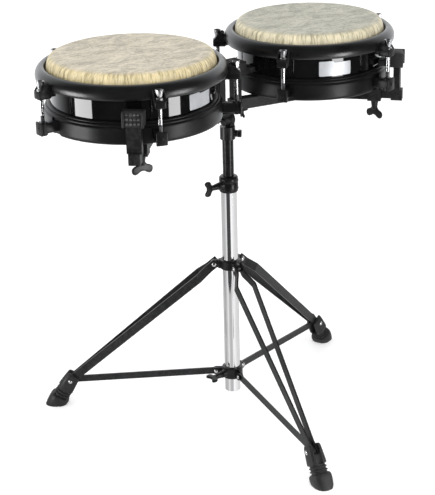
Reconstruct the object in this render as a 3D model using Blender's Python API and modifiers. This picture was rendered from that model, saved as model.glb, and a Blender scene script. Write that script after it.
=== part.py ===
"""Two shallow hand drums on a folding, height-adjustable tripod stand.

Frame: metres, +Z up, origin on the floor under the middle of the overall box. The large drum is
at -X, the small one at +X, and the player stands on the -Y side. Every part is laid out about the
pole's axis, and the whole is moved to the frame at the end.
"""

from math import atan2, cos, hypot, pi, radians, sin, sqrt

import bmesh
import bpy
from mathutils import Matrix, Vector

POLE = (0.0095, 0.0642)  # the pole's axis, seen from the middle of the overall box
GAP = 0.0003  # left between neighbours that touch
BIG_STEPS = 48  # round segments of the drums
TUBE_STEPS = 24
SMALL_STEPS = 12

# Drums. Heads are the common 11 3/4 in and 11 in sizes; heights are above the floor.
HEAD_RADIUS = {"left": 0.1492, "right": 0.1397}
SIDE = {"left": -1, "right": 1}
RIM_TO_POLE = 0.0525  # from the head's edge to the pole's axis
HEAD_TOP = 0.7526
COLLAR_Z = 0.7294
HOOP_SHOULDER = 0.6715
DRUM_BOTTOM = 0.632
SHELL_INSET = 0.004
SHELL_WALL = 0.006
HOOP_OUT = 0.008
LUGS = 5
LUG_STEP = 2 * pi / LUGS
ROD_OUT = 0.0325
ROD_RADIUS = 0.0038
ROD_HOLE = 0.0043
CLAW_BOTTOM = 0.701
CLAW_TOP = 0.7155
LUG_BOTTOM = 0.640
LUG_TOP = 0.6595
LUG_WIDTH = 0.020

# Middle of the stand: tilter, hub plate and arms.
ARM_BOTTOM = 0.608
ARM_TOP = 0.628
ARM_WIDTH = 0.020
ARM_TURN = radians(-8.2)
ARM_CORNER = 0.180  # from the pole to the bend
ARM_BEND_RADIUS = 0.085
ARM_OUTER_TURN = radians(-47.0)
ARM_OUTER_LENGTH = 0.130
ARM_START = 0.006
SWIVEL_AT = 0.032
CLAMP_SIZE = 0.025
CLAMP_AT = 0.119
BAR_SCREW_TURN = {"left": radians(-3), "right": radians(-88)}
BAR_SIZE = 0.0144
BORE_SIZE = 0.0152
BAR_BACK = 0.090
BAR_FRONT = 0.008
BLOCK_DEEP = 0.021  # of the block at the bar's outer end, along the bar
UPRIGHT_OUT = 0.032  # of the outer uprights, from the head's edge
UPRIGHT_WIDTH = 0.026
UPRIGHT_DEEP = 0.012
UPRIGHT_TOP = 0.698
INNER_UPRIGHT_X = 0.018
PAD_BOTTOM = 0.6728
PAD_TOP = 0.7000
PAD_WIDTH = 0.037
TILT_Z = 0.5915
TILT_RADIUS = 0.0118
PLATE_BOTTOM = 0.6040
PLATE_TOP = 0.6076

# Pole.
BASE_RADIUS = 0.015
BASE_WALL = 0.0014
BASE_BOTTOM = 0.0365
BASE_TOP = 0.4780
UPPER_RADIUS = 0.0105
UPPER_WALL = 0.0012
UPPER_BOTTOM = 0.3000
UPPER_TOP = 0.5740
CLAMP_BOTTOM = 0.4510
CLAMP_TOP = 0.4815
SLEEVE_BOTTOM = 0.5540
SIDE_SCREW_SIZE = 0.90
HEIGHT_SCREW_TURN = radians(185)
HEIGHT_SCREW_Z = 0.4660
SLEEVE_SCREW_TURN = radians(-42)
SLEEVE_SCREW_Z = 0.5640

# Tripod.
LEG_TURNS = {"a": radians(21), "b": radians(141), "c": radians(261)}
LEG_PIVOT = (0.031, 0.3040)  # radius and height
BRACE_PIVOT = (0.032, 0.0758)
FOOT_RIVET = (0.3214, 0.0536)
FOOT_CONTACT = 0.3554
LEG_WIDTH = 0.016
LEG_THICK = 0.003
BRACE_WIDTH = 0.0133
BRACE_THICK = 0.003
PIN_RADIUS = 0.003
PIN_HOLE = 0.0033
LEG_COLLAR = (0.0195, 0.2950, 0.3130)  # radius, bottom, top
BRACE_COLLAR = (0.0200, 0.0650, 0.0870)
BRACE_SCREW_TURN = radians(185)

BLACK_SATIN = ("black_satin", (0.012, 0.012, 0.013), 0.0, 0.42)
BLACK_GLOSS = ("black_gloss", (0.006, 0.006, 0.007), 0.0, 0.08)
BLACK_METAL = ("black_metal", (0.016, 0.016, 0.017), 0.0, 0.5)
CHROME = ("chrome", (0.80, 0.80, 0.81), 1.0, 0.08)
RUBBER = ("rubber", (0.014, 0.014, 0.014), 0.0, 0.75)
SKIN = ("skin", (0.62, 0.55, 0.42), 0.0, 0.6)


# ---------------------------------------------------------------- tools

for old in list(bpy.data.objects):
    bpy.data.objects.remove(old)

parts = bpy.data.collections.new("hand_drums_on_stand")
cutters = bpy.data.collections.new("cutters")
bpy.context.scene.collection.children.link(parts)
bpy.context.scene.collection.children.link(cutters)


def finish(look):
    """Return the material of this look, made the first time that it is asked for."""
    name, colour, metallic, roughness = look
    material = bpy.data.materials.get(name)
    if material is None:
        material = bpy.data.materials.new(name)
        material.use_nodes = True
        shader = material.node_tree.nodes["Principled BSDF"]
        shader.inputs["Base Color"].default_value = (*colour, 1.0)
        shader.inputs["Metallic"].default_value = metallic
        shader.inputs["Roughness"].default_value = roughness
    return material


def own_finish(name, look):
    """Give each part its own copy of a look."""
    material = finish(look).copy()
    material.name = name
    return material


def from_bmesh(name, mesh_data):
    mesh = bpy.data.meshes.new(name)
    mesh_data.to_mesh(mesh)
    mesh_data.free()
    obj = bpy.data.objects.new(name, mesh)
    cutters.objects.link(obj)
    obj.hide_render = True
    obj.display_type = "WIRE"
    return obj


def part(obj, name, look, smooth=True):
    """Turn a helper shape into a finished part."""
    cutters.objects.unlink(obj)
    parts.objects.link(obj)
    obj.name = name
    obj.data.name = name
    obj.hide_render = False
    obj.display_type = "TEXTURED"
    obj.data.materials.clear()
    obj.data.materials.append(own_finish(name, look))
    if smooth:
        obj.data.shade_smooth()
        obj.data.set_sharp_from_angle(angle=radians(35))
    return obj


def box(size, centre=(0, 0, 0)):
    data = bmesh.new()
    bmesh.ops.create_cube(data, size=1.0)
    bmesh.ops.scale(data, vec=size, verts=data.verts)
    bmesh.ops.translate(data, vec=centre, verts=data.verts)
    return from_bmesh("box", data)


def cylinder(radius, depth, centre=(0, 0, 0), along="Z", steps=TUBE_STEPS, radius_top=None):
    data = bmesh.new()
    top = radius if radius_top is None else radius_top
    bmesh.ops.create_cone(
        data, cap_ends=True, segments=steps, radius1=radius, radius2=top, depth=depth
    )
    turn = {
        "X": Matrix.Rotation(pi / 2, 4, "Y"),
        "Y": Matrix.Rotation(-pi / 2, 4, "X"),
        "Z": Matrix.Identity(4),
    }[along]
    bmesh.ops.transform(data, matrix=Matrix.Translation(centre) @ turn, verts=data.verts)
    return from_bmesh("cylinder", data)


def prism(outline, thickness, centre=(0, 0, 0)):
    """A flat outline in XY with its thickness along Z, as a closed mesh."""
    curve = bpy.data.curves.new("outline", "CURVE")
    curve.dimensions = "2D"
    curve.fill_mode = "BOTH"
    curve.extrude = thickness / 2
    spline = curve.splines.new("POLY")
    spline.points.add(len(outline) - 1)
    for point, (x, y) in zip(spline.points, outline):
        point.co = (x, y, 0, 1)
    spline.use_cyclic_u = True
    guide = bpy.data.objects.new("outline", curve)
    cutters.objects.link(guide)
    bpy.context.view_layer.update()
    graph = bpy.context.evaluated_depsgraph_get()
    mesh = bpy.data.meshes.new_from_object(guide.evaluated_get(graph))
    bpy.data.objects.remove(guide)
    data = bmesh.new()
    data.from_mesh(mesh)
    bmesh.ops.remove_doubles(data, verts=data.verts, dist=0.00001)
    bmesh.ops.recalc_face_normals(data, faces=data.faces)
    bmesh.ops.translate(data, vec=centre, verts=data.verts)
    return from_bmesh("prism", data)


def lathe(profile, steps=TUBE_STEPS, closed=False):
    """A turned shape about Z. The profile is (radius, height) and runs down the outer side."""
    mesh = bpy.data.meshes.new("profile")
    points = [(radius, 0.0, height) for radius, height in profile]
    edges = [(i, i + 1) for i in range(len(points) - 1)]
    if closed:
        edges.append((len(points) - 1, 0))
    mesh.from_pydata(points, edges, [])
    obj = bpy.data.objects.new("turned", mesh)
    cutters.objects.link(obj)
    obj.hide_render = True
    obj.display_type = "WIRE"
    screw = obj.modifiers.new("Screw", "SCREW")
    screw.axis = "Z"
    screw.angle = 2 * pi
    screw.steps = steps
    screw.render_steps = steps
    screw.use_merge_vertices = True
    screw.merge_threshold = 0.00001
    return obj


def as_mesh(obj):
    """Apply the modifiers of a helper shape."""
    bpy.context.view_layer.update()
    graph = bpy.context.evaluated_depsgraph_get()
    mesh = bpy.data.meshes.new_from_object(obj.evaluated_get(graph))
    obj.modifiers.clear()
    obj.data = mesh
    return obj


def boolean(target, tool, operation):
    step = target.modifiers.new(operation.title(), "BOOLEAN")
    step.operation = operation
    step.solver = "EXACT"
    step.object = tool
    return target


def union(target, *tools):
    for tool in tools:
        boolean(target, tool, "UNION")
    return target


def cut(target, *tools):
    for tool in tools:
        boolean(target, tool, "DIFFERENCE")
    return target


def shift(obj, matrix):
    """Move a helper shape's mesh, so that its origin stays where it was."""
    obj.data.transform(matrix)
    return obj


def around(obj, turns):
    """Join copies of a helper shape turned about Z into one tool."""
    data = bmesh.new()
    for turn in turns:
        copy = obj.data.copy()
        copy.transform(Matrix.Rotation(turn, 4, "Z"))
        data.from_mesh(copy)
        bpy.data.meshes.remove(copy)
    bpy.data.objects.remove(obj)
    return from_bmesh("around", data)


def place(obj, location=(0, 0, 0), turn=0.0, pitch=0.0, roll=0.0, parent=None):
    obj.location = location
    obj.rotation_euler = (roll, pitch, turn)
    obj.parent = parent
    return obj


def strip_outline(points, thickness):
    """Offset a line of points by half a thickness to each side."""
    left, right = [], []
    for i, point in enumerate(points):
        here = Vector(point)
        before = (here - Vector(points[max(i - 1, 0)])).normalized()
        after = (Vector(points[min(i + 1, len(points) - 1)]) - here).normalized()
        along = (before + after).normalized()
        normal = Vector((-along.y, along.x))
        facing = Vector((-after.y, after.x)) if after.length else Vector((-before.y, before.x))
        reach = thickness / 2 / max(normal.dot(facing), 0.5)
        left.append(tuple(here + normal * reach))
        right.append(tuple(here - normal * reach))
    return left + right[::-1]


def capsule(length, width, steps=6):
    """An outline with round ends about (0, 0) and (length, 0)."""
    radius = width / 2
    angles = [pi / 2 + pi * i / steps for i in range(steps + 1)]
    near = [(radius * cos(a), radius * sin(a)) for a in angles]
    far = [(length - x, -y) for x, y in near]
    return near + far


def wing_screw(size, shank_length, shank_radius=0.003, spread=0.70):
    """A wing screw: the shank points up from the origin and the two lobes hang below it."""
    half = [(0.0050, 0.0), (0.0052, -0.0130), (0.0115, -0.0190), (0.0170, -0.0210), (0.0200, -0.0260)]
    half += [(0.0185, -0.0320), (0.0130, -0.0345)]
    half = [(x * size * spread, y * size) for x, y in half]
    outline = half + [(0.0, -0.0290 * size)] + [(-x, y) for x, y in reversed(half)]
    wings = shift(prism(outline, 0.005 * sqrt(size)), Matrix.Rotation(pi / 2, 4, "X"))
    neck = 0.008 * size
    shank = cylinder(shank_radius, shank_length + neck, (0, 0, (shank_length - neck) / 2), steps=SMALL_STEPS)
    shank.parent = wings
    return union(wings, shank)


# ---------------------------------------------------------------- drums


def head_profile(radius):
    top, collar = HEAD_TOP, COLLAR_Z
    return [
        (0.0, top),
        (radius - 0.0090, top),
        (radius - 0.0046, top - 0.0012),
        (radius - 0.0018, top - 0.0055),
        (radius, collar),
        (radius + 0.0003, collar - 0.0074),
        (radius + 0.0050, collar - 0.0074),
        (radius + 0.0050, collar - 0.0130),
        (radius - 0.0012, collar - 0.0130),
        (radius - 0.0012, collar),
        (radius - 0.0032, top - 0.0063),
        (radius - 0.0056, top - 0.0024),
        (radius - 0.0092, top - 0.0011),
        (0.0, top - 0.0011),
    ]


def rim_profile(radius):
    return [
        (radius + 0.0014, 0.7310),
        (radius + 0.0040, 0.7362),
        (radius + 0.0110, 0.7354),
        (radius + 0.0168, 0.7305),
        (radius + 0.0195, 0.7220),
        (radius + 0.0188, 0.7140),
        (radius + 0.0150, 0.7115),
        (radius + 0.0056, 0.7160),
        (radius + 0.0056, 0.7223),
        (radius + 0.0014, 0.7223),
    ]


def shell_profile(radius):
    outer = radius - SHELL_INSET
    inner = outer - SHELL_WALL
    top = HEAD_TOP - 0.0014
    bottom = DRUM_BOTTOM + 0.002
    return [
        (inner, top - 0.0040),
        (inner + 0.0015, top - 0.0008),
        (outer - 0.0025, top - 0.0008),
        (outer - 0.0004, top - 0.0060),
        (outer, top - 0.0120),
        (outer, bottom),
        (inner, bottom),
    ]


def hoop_profile(radius):
    inner = radius - SHELL_INSET + GAP
    return [
        (inner, HOOP_SHOULDER),
        (radius - 0.0010, HOOP_SHOULDER),
        (radius + 0.0015, HOOP_SHOULDER - 0.0025),
        (radius + 0.0028, HOOP_SHOULDER - 0.0052),
        (radius + 0.0058, HOOP_SHOULDER - 0.0074),
        (radius + HOOP_OUT, HOOP_SHOULDER - 0.0110),
        (radius + HOOP_OUT, DRUM_BOTTOM + 0.0040),
        (radius + 0.0050, DRUM_BOTTOM),
        (inner, DRUM_BOTTOM),
    ]


def drum(name):
    radius = HEAD_RADIUS[name]
    side = SIDE[name]
    axis = bpy.data.objects.new(f"drum_{name}_axis", None)
    parts.objects.link(axis)
    axis.location = (side * (radius + RIM_TO_POLE), 0, 0)
    turns = [(pi if side < 0 else 0) + side * k * LUG_STEP for k in range(LUGS)]

    head = lathe(head_profile(radius), BIG_STEPS)
    place(part(head, f"head_{name}", SKIN), parent=axis)

    shell = lathe(shell_profile(radius), BIG_STEPS, closed=True)
    place(part(shell, f"shell_{name}", BLACK_GLOSS), parent=axis)

    claw = box((0.027, 0.020, CLAW_TOP - CLAW_BOTTOM), (radius + 0.0275, 0, (CLAW_TOP + CLAW_BOTTOM) / 2))
    hole = cylinder(ROD_HOLE, 0.04, (radius + ROD_OUT, 0, CLAW_BOTTOM), steps=SMALL_STEPS)
    rim = lathe(rim_profile(radius), BIG_STEPS, closed=True)
    claws = place(around(claw, turns), parent=axis)
    union(rim, claws)
    claw_holes = place(around(hole, turns), parent=axis)
    cut(rim, claw_holes)
    place(part(rim, f"rim_{name}", BLACK_SATIN), parent=axis)

    notch = box((0.020, LUG_WIDTH + 0.004, 0.0325), (radius + 0.0105, 0, 0.6465))
    hoop = lathe(hoop_profile(radius), BIG_STEPS, closed=True)
    cut(hoop, place(around(notch, turns), parent=axis))
    place(part(hoop, f"lower_hoop_{name}", BLACK_SATIN), parent=axis)

    for number, turn in enumerate(turns, 1):
        lug(f"lug_{name}_{number}", radius, turn, axis)
        rod(f"tension_rod_{name}_{number}", radius, turn, axis)


def lug(name, radius, turn, axis):
    """A rounded block with a wider end plate and a hole for the rod."""
    middle = (LUG_TOP + LUG_BOTTOM) / 2
    height = LUG_TOP - LUG_BOTTOM
    block = box((0.0370, 0.016, height), (radius + 0.0196, 0, middle))
    plate = box((0.005, LUG_WIDTH, height + 0.004), (radius + 0.0395, 0, middle))
    hole = cylinder(ROD_HOLE, 0.04, (radius + ROD_OUT, 0, middle), steps=SMALL_STEPS)
    cut(union(block, place(plate, turn=turn, parent=axis)), place(hole, turn=turn, parent=axis))
    place(part(block, name, BLACK_METAL), turn=turn, parent=axis)


def rod(name, radius, turn, axis):
    """A tension rod whose flared hex head bears on the claw."""
    profile = [
        (0.0, 0.7330),
        (0.0074, 0.7330),
        (0.0074, 0.7290),
        (0.0058, 0.7230),
        (0.0066, CLAW_TOP + GAP),
        (ROD_RADIUS, CLAW_TOP + GAP),
        (ROD_RADIUS, 0.6380),
        (0.0, 0.6380),
    ]
    shape = lathe(profile, SMALL_STEPS)
    out = radius + ROD_OUT
    place(part(shape, name, CHROME), (out * cos(turn), out * sin(turn), 0), parent=axis)


# ---------------------------------------------------------------- arms


def arm_line(side):
    """The arm's middle line in plan: straight, a round bend, straight."""
    corner = Vector((ARM_CORNER * cos(ARM_TURN), ARM_CORNER * sin(ARM_TURN)))
    bend = ARM_OUTER_TURN - ARM_TURN
    tangent = ARM_BEND_RADIUS * abs(sin(bend / 2) / cos(bend / 2))
    inward = Vector((cos(ARM_TURN), sin(ARM_TURN)))
    centre = corner - inward * tangent + Vector((sin(ARM_TURN), -cos(ARM_TURN))) * ARM_BEND_RADIUS
    steps = 8
    points = [inward * ARM_START]
    for i in range(steps + 1):
        angle = ARM_TURN + pi / 2 + bend * i / steps
        points.append(centre + Vector((cos(angle), sin(angle))) * ARM_BEND_RADIUS)
    points.append(corner + outer_direction() * ARM_OUTER_LENGTH)
    return [(side * p.x, p.y) for p in points]


def outer_direction():
    return Vector((cos(ARM_OUTER_TURN), sin(ARM_OUTER_TURN)))


def arm_corner():
    return Vector((ARM_CORNER * cos(ARM_TURN), ARM_CORNER * sin(ARM_TURN)))


def upright_reach(name):
    """How far past the bend the outer upright stands, to be at its distance from the drum."""
    radius = HEAD_RADIUS[name]
    offset = arm_corner() - Vector((radius + RIM_TO_POLE, 0))
    half = offset.dot(outer_direction())
    reach = radius + UPRIGHT_OUT
    return sqrt(half * half - offset.dot(offset) + reach * reach) - half


def outer_turn(side):
    return ARM_OUTER_TURN if side > 0 else pi - ARM_OUTER_TURN


def arm(name):
    side = SIDE[name]
    middle = (ARM_TOP + ARM_BOTTOM) / 2
    body = prism(strip_outline(arm_line(side), ARM_WIDTH), ARM_TOP - ARM_BOTTOM, (0, 0, middle))
    upright_height = UPRIGHT_TOP - ARM_TOP + 0.004
    upright = box(
        (UPRIGHT_DEEP, UPRIGHT_WIDTH - 0.004, upright_height),
        (side * INNER_UPRIGHT_X, -0.0025, UPRIGHT_TOP - upright_height / 2),
    )
    clamp = box((CLAMP_SIZE, CLAMP_SIZE, ARM_TOP - ARM_BOTTOM + 0.004), (CLAMP_AT, 0, middle))
    bore = box((0.085, BORE_SIZE, BORE_SIZE), (ARM_OUTER_LENGTH - 0.0395, 0, middle))
    screw_hole = cylinder(0.0033, 0.016, (CLAMP_AT, 0, ARM_BOTTOM), steps=SMALL_STEPS)
    corner = arm_corner()
    at = (side * corner.x, corner.y, 0)
    for tool in (clamp, bore, screw_hole):
        place(tool, at, outer_turn(side))
    pivot = Vector((cos(ARM_TURN), sin(ARM_TURN))) * SWIVEL_AT
    swivel_hole = cylinder(0.0029, 0.018, (side * pivot.x, pivot.y, ARM_BOTTOM), steps=SMALL_STEPS)
    cut(union(body, upright, clamp), bore, screw_hole, swivel_hole)
    part(body, f"arm_{name}", BLACK_METAL)

    screw = wing_screw(1.0, 0.0048, spread=1.0)
    x, y = at[0] + cos(outer_turn(side)) * CLAMP_AT, at[1] + sin(outer_turn(side)) * CLAMP_AT
    place(part(screw, f"bar_screw_{name}", BLACK_METAL), (x, y, ARM_BOTTOM - 0.0026), BAR_SCREW_TURN[name])

    swivel_screw = wing_screw(0.42, 0.0115, 0.0026)
    place(
        part(swivel_screw, f"swivel_screw_{name}", BLACK_METAL),
        (side * pivot.x, pivot.y, PLATE_BOTTOM - GAP),
        pi / 2,
    )


def sliding_bar(name):
    """A bar in the arm's bore, with an end block and the upright that stands on it."""
    side = SIDE[name]
    middle = (ARM_TOP + ARM_BOTTOM) / 2
    reach = upright_reach(name)
    bar = box((BAR_BACK + BAR_FRONT, BAR_SIZE, BAR_SIZE), ((BAR_FRONT - BAR_BACK) / 2, 0, middle))
    block = box((BLOCK_DEEP, ARM_WIDTH, ARM_TOP - ARM_BOTTOM), (0, 0, middle))
    upright_bottom = ARM_TOP - 0.0010
    upright = box(
        (UPRIGHT_DEEP, UPRIGHT_WIDTH, UPRIGHT_TOP - upright_bottom),
        (0, 0, (UPRIGHT_TOP + upright_bottom) / 2),
    )
    corner = arm_corner() + outer_direction() * reach
    at = (side * corner.x, corner.y, 0)
    for tool in (block, upright):
        place(tool, at, outer_turn(side))
    place(part(union(bar, block, upright), f"sliding_bar_{name}", BLACK_METAL), at, outer_turn(side))
    pad(f"outer_pad_{name}", name, at, outer_turn(side), UPRIGHT_WIDTH)


def pad(name, drum_name, at, turn, upright_width):
    """A rubber block on the upright's top, with a nose that bears on the shell above its hoop."""
    middle = (PAD_TOP + PAD_BOTTOM) / 2
    height = PAD_TOP - PAD_BOTTOM
    body = box((0.0250, PAD_WIDTH, height), (-0.0005, 0, middle))
    nose = box((0.0400, 0.0280, 0.0150), (-0.0280, 0, PAD_BOTTOM + 0.0085))
    pocket_height = UPRIGHT_TOP + GAP - PAD_BOTTOM + 0.01
    pocket = box(
        (UPRIGHT_DEEP + 2 * GAP, upright_width + 2 * GAP, pocket_height),
        (0, 0, UPRIGHT_TOP + GAP - pocket_height / 2),
    )
    radius = HEAD_RADIUS[drum_name]
    face = radius - SHELL_INSET + GAP
    shell = cylinder(face, 0.1, (SIDE[drum_name] * (radius + RIM_TO_POLE), 0, middle), steps=2 * BIG_STEPS)
    place(nose, at, turn)
    place(pocket, at, turn)
    cut(union(body, nose), pocket, shell)
    place(part(body, name, RUBBER), at, turn)


def inner_pad(name):
    side = SIDE[name]
    turn = pi if side > 0 else 0.0
    pad(f"inner_pad_{name}", name, (side * INNER_UPRIGHT_X, -0.0025, 0), turn, UPRIGHT_WIDTH - 0.004)


# ---------------------------------------------------------------- middle


def hub_plate():
    """The plate under the arms, with the upper half of the tilter."""
    half = 0.0415
    outline = [(-half, -0.0080), (-half, 0.0020), (-0.016, 0.0150), (0.016, 0.0150)]
    outline += [(half, 0.0020), (half, -0.0080), (half - 0.004, -0.0130), (0.016, -0.0150)]
    outline += [(-0.016, -0.0150), (4e-3 - half, -0.0130)]
    plate = prism(outline, PLATE_TOP - PLATE_BOTTOM, (0, 0, (PLATE_TOP + PLATE_BOTTOM) / 2))
    neck_height = PLATE_BOTTOM + 0.001 - TILT_Z
    neck = box((0.0092, 0.018, neck_height), (-0.0051, 0, TILT_Z + neck_height / 2))
    disc = cylinder(TILT_RADIUS, 0.0092, (-0.0051, 0, TILT_Z), "X")
    bolt_hole = cylinder(PIN_HOLE, 0.06, (0, 0, TILT_Z), "X", SMALL_STEPS)
    pivot = Vector((cos(ARM_TURN), sin(ARM_TURN))) * SWIVEL_AT
    holes = [
        cylinder(0.0029, 0.02, (side * pivot.x, pivot.y, PLATE_BOTTOM), steps=SMALL_STEPS)
        for side in (-1, 1)
    ]
    part(cut(union(plate, neck, disc), bolt_hole, *holes), "hub_plate", BLACK_METAL)


def tilter_base():
    """The lower half of the tilter, with the sleeve that holds the upper tube."""
    sleeve_top = TILT_Z - 0.0135
    height = sleeve_top - SLEEVE_BOTTOM
    sleeve = cylinder(0.0145, height, (0, 0, SLEEVE_BOTTOM + height / 2))
    neck_height = TILT_Z - sleeve_top + 0.001
    neck = box((0.0092, 0.018, neck_height), (0.0051, 0, TILT_Z - neck_height / 2))
    disc = cylinder(TILT_RADIUS, 0.0092, (0.0051, 0, TILT_Z), "X")
    socket_height = UPPER_TOP + GAP - SLEEVE_BOTTOM + 0.01
    socket = cylinder(UPPER_RADIUS + GAP, socket_height, (0, 0, UPPER_TOP + GAP - socket_height / 2))
    bolt_hole = cylinder(PIN_HOLE, 0.06, (0, 0, TILT_Z), "X", SMALL_STEPS)
    boss = cylinder(0.0065, 0.012, (0.0125, 0, SLEEVE_SCREW_Z), "X", SMALL_STEPS)
    screw_hole = cylinder(PIN_HOLE, 0.02, (0.0170, 0, SLEEVE_SCREW_Z), "X", SMALL_STEPS)
    for tool in (boss, screw_hole):
        place(tool, turn=SLEEVE_SCREW_TURN)
    part(cut(union(sleeve, neck, disc, boss), socket, bolt_hole, screw_hole), "tilter_base", BLACK_METAL)


def side_screw(name, start, height, turn, shank_length, spread=0.70, roll=0.0):
    """A wing screw that points at the pole. Its wings stand upright unless it is rolled."""
    screw = wing_screw(SIDE_SCREW_SIZE, shank_length, spread=spread)
    shift(screw, Matrix.Rotation(-pi / 2, 4, "Y"))
    for step in screw.modifiers:
        shift(step.object, Matrix.Rotation(-pi / 2, 4, "Y"))
    at = (start * cos(turn), start * sin(turn), height)
    place(part(screw, name, BLACK_METAL), at, turn, roll=roll)


def sleeve_screw():
    """A set screw with a square head, which holds the sleeve to the upper tube."""
    head = box((0.0074, 0.0120, 0.0120), (0.0225, 0, 0))
    shank = cylinder(0.0030, 0.0080, (0.0150, 0, 0), "X", SMALL_STEPS)
    at = (0, 0, SLEEVE_SCREW_Z)
    union(head, place(shank, at, SLEEVE_SCREW_TURN))
    place(part(head, "sleeve_screw", BLACK_METAL), at, SLEEVE_SCREW_TURN)


def tilt_screw():
    """The bolt through both halves of the tilter, with its wings on the -X side."""
    screw = wing_screw(0.38, 0.0235)
    shift(screw, Matrix.Rotation(pi / 2, 4, "Y"))
    for step in screw.modifiers:
        shift(step.object, Matrix.Rotation(pi / 2, 4, "Y"))
    cap = cylinder(0.0055, 0.0032, (0.0224, 0, 0), "X", 6)
    union(screw, place(cap, (-0.0105, 0, TILT_Z)))
    place(part(screw, "tilt_screw", BLACK_METAL), (-0.0105, 0, TILT_Z))


# ---------------------------------------------------------------- pole


def tube(name, outer, wall, bottom, top, look):
    profile = [(outer - wall, top), (outer, top), (outer, bottom), (outer - wall, bottom)]
    return part(lathe(profile, TUBE_STEPS, closed=True), name, look)


def height_clamp():
    """The collar on the base tube's top; its lip guides the upper tube."""
    inner = BASE_RADIUS + GAP
    profile = [
        (UPPER_RADIUS + GAP, CLAMP_TOP),
        (0.0160, CLAMP_TOP),
        (0.0180, CLAMP_TOP - 0.0020),
        (0.0180, CLAMP_BOTTOM + 0.0020),
        (0.0170, CLAMP_BOTTOM),
        (inner, CLAMP_BOTTOM),
        (inner, BASE_TOP + GAP),
        (UPPER_RADIUS + GAP, BASE_TOP + GAP),
    ]
    clamp = as_mesh(lathe(profile, TUBE_STEPS, closed=True))
    boss = cylinder(0.0070, 0.010, (0.0215, 0, HEIGHT_SCREW_Z), "X", SMALL_STEPS)
    hole = cylinder(PIN_HOLE, 0.014, (0.0235, 0, HEIGHT_SCREW_Z), "X", SMALL_STEPS)
    for tool in (boss, hole):
        place(tool, turn=HEIGHT_SCREW_TURN)
    part(cut(union(clamp, boss), hole), "height_clamp", BLACK_METAL)


# ---------------------------------------------------------------- tripod


def leg_collar():
    """The fixed collar, with one ear for each leg."""
    pivot, height = LEG_PIVOT
    radius, bottom, top = LEG_COLLAR
    body = cylinder(radius, top - bottom, (0, 0, (top + bottom) / 2))
    bore = cylinder(BASE_RADIUS + GAP, 0.1, (0, 0, bottom))
    ear = prism(capsule(pivot - 0.018, 0.0150), 0.0100, (0.018, 0, 0))
    shift(ear, Matrix.Translation((0, 0, height)) @ Matrix.Rotation(pi / 2, 4, "X"))
    pin_hole = cylinder(PIN_HOLE, 0.03, (pivot, 0, height), "Y", SMALL_STEPS)
    turns = list(LEG_TURNS.values())
    cut(union(body, around(ear, turns)), bore, around(pin_hole, turns))
    part(body, "leg_collar", BLACK_METAL)


def brace_collar():
    """The sliding collar, with two cheeks and a pin for each brace."""
    pivot, height = BRACE_PIVOT
    radius, bottom, top = BRACE_COLLAR
    body = cylinder(radius, top - bottom, (0, 0, (top + bottom) / 2))
    bore = cylinder(BASE_RADIUS + GAP, 0.1, (0, 0, bottom))
    turns = list(LEG_TURNS.values())
    outline = capsule(pivot - 0.018, 0.0140)
    for side in (-1, 1):
        cheek = prism(outline, 0.0030, (0.018, 0, side * 0.0034))
        shift(cheek, Matrix.Translation((0, 0, height)) @ Matrix.Rotation(pi / 2, 4, "X"))
        union(body, around(cheek, turns))
    pin = cylinder(PIN_RADIUS, 0.0120, (pivot, 0, height), "Y", 8)
    boss = cylinder(0.0070, 0.010, (0.0235, 0, height), "X", SMALL_STEPS)
    screw_hole = cylinder(PIN_HOLE, 0.014, (0.0245, 0, height), "X", SMALL_STEPS)
    for tool in (boss, screw_hole):
        place(tool, turn=BRACE_SCREW_TURN)
    union(body, boss)
    cut(body, bore, screw_hole)
    union(body, around(pin, turns))
    part(body, "brace_collar", BLACK_METAL)


def leg(letter):
    """Two flat strips on one pivot pin, spread near the collar and closing at the foot."""
    turn = LEG_TURNS[letter]
    radius, height = LEG_PIVOT
    run, drop = FOOT_RIVET[0] - radius, height - FOOT_RIVET[1]
    length = hypot(run, drop)
    line = [(-0.0080, 0.0070), (0.0140, 0.0070), (0.0400, 0.0188), (length - 0.016, 0.0042)]
    line.append((length + 0.0060, 0.0042))
    strip = prism(strip_outline(line, LEG_THICK), LEG_WIDTH)
    other = prism(strip_outline([(x, -y) for x, y in line], LEG_THICK), LEG_WIDTH)
    pin = cylinder(PIN_RADIUS, 0.0200, along="Y", steps=SMALL_STEPS)
    at = (radius * cos(turn), radius * sin(turn), height)
    pitch = atan2(drop, run)
    for tool in (other, pin):
        place(tool, at, turn, pitch)
    place(part(union(strip, pin, other), f"leg_{letter}", BLACK_SATIN), at, turn, pitch)


def brace(letter):
    turn = LEG_TURNS[letter]
    radius, height = BRACE_PIVOT
    run, drop = FOOT_RIVET[0] - radius, height - FOOT_RIVET[1]
    length = hypot(run, drop)
    bar = prism(capsule(length, BRACE_WIDTH), BRACE_THICK)
    at = (radius * cos(turn), radius * sin(turn), height)
    pitch = atan2(drop, run)
    holes = [cylinder(PIN_HOLE, 0.02, (x, 0, 0), steps=SMALL_STEPS) for x in (0.0, length)]
    for hole in holes:
        place(hole, at, turn, pitch, pi / 2)
    place(part(cut(bar, *holes), f"brace_{letter}", BLACK_SATIN), at, turn, pitch, pi / 2)


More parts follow.
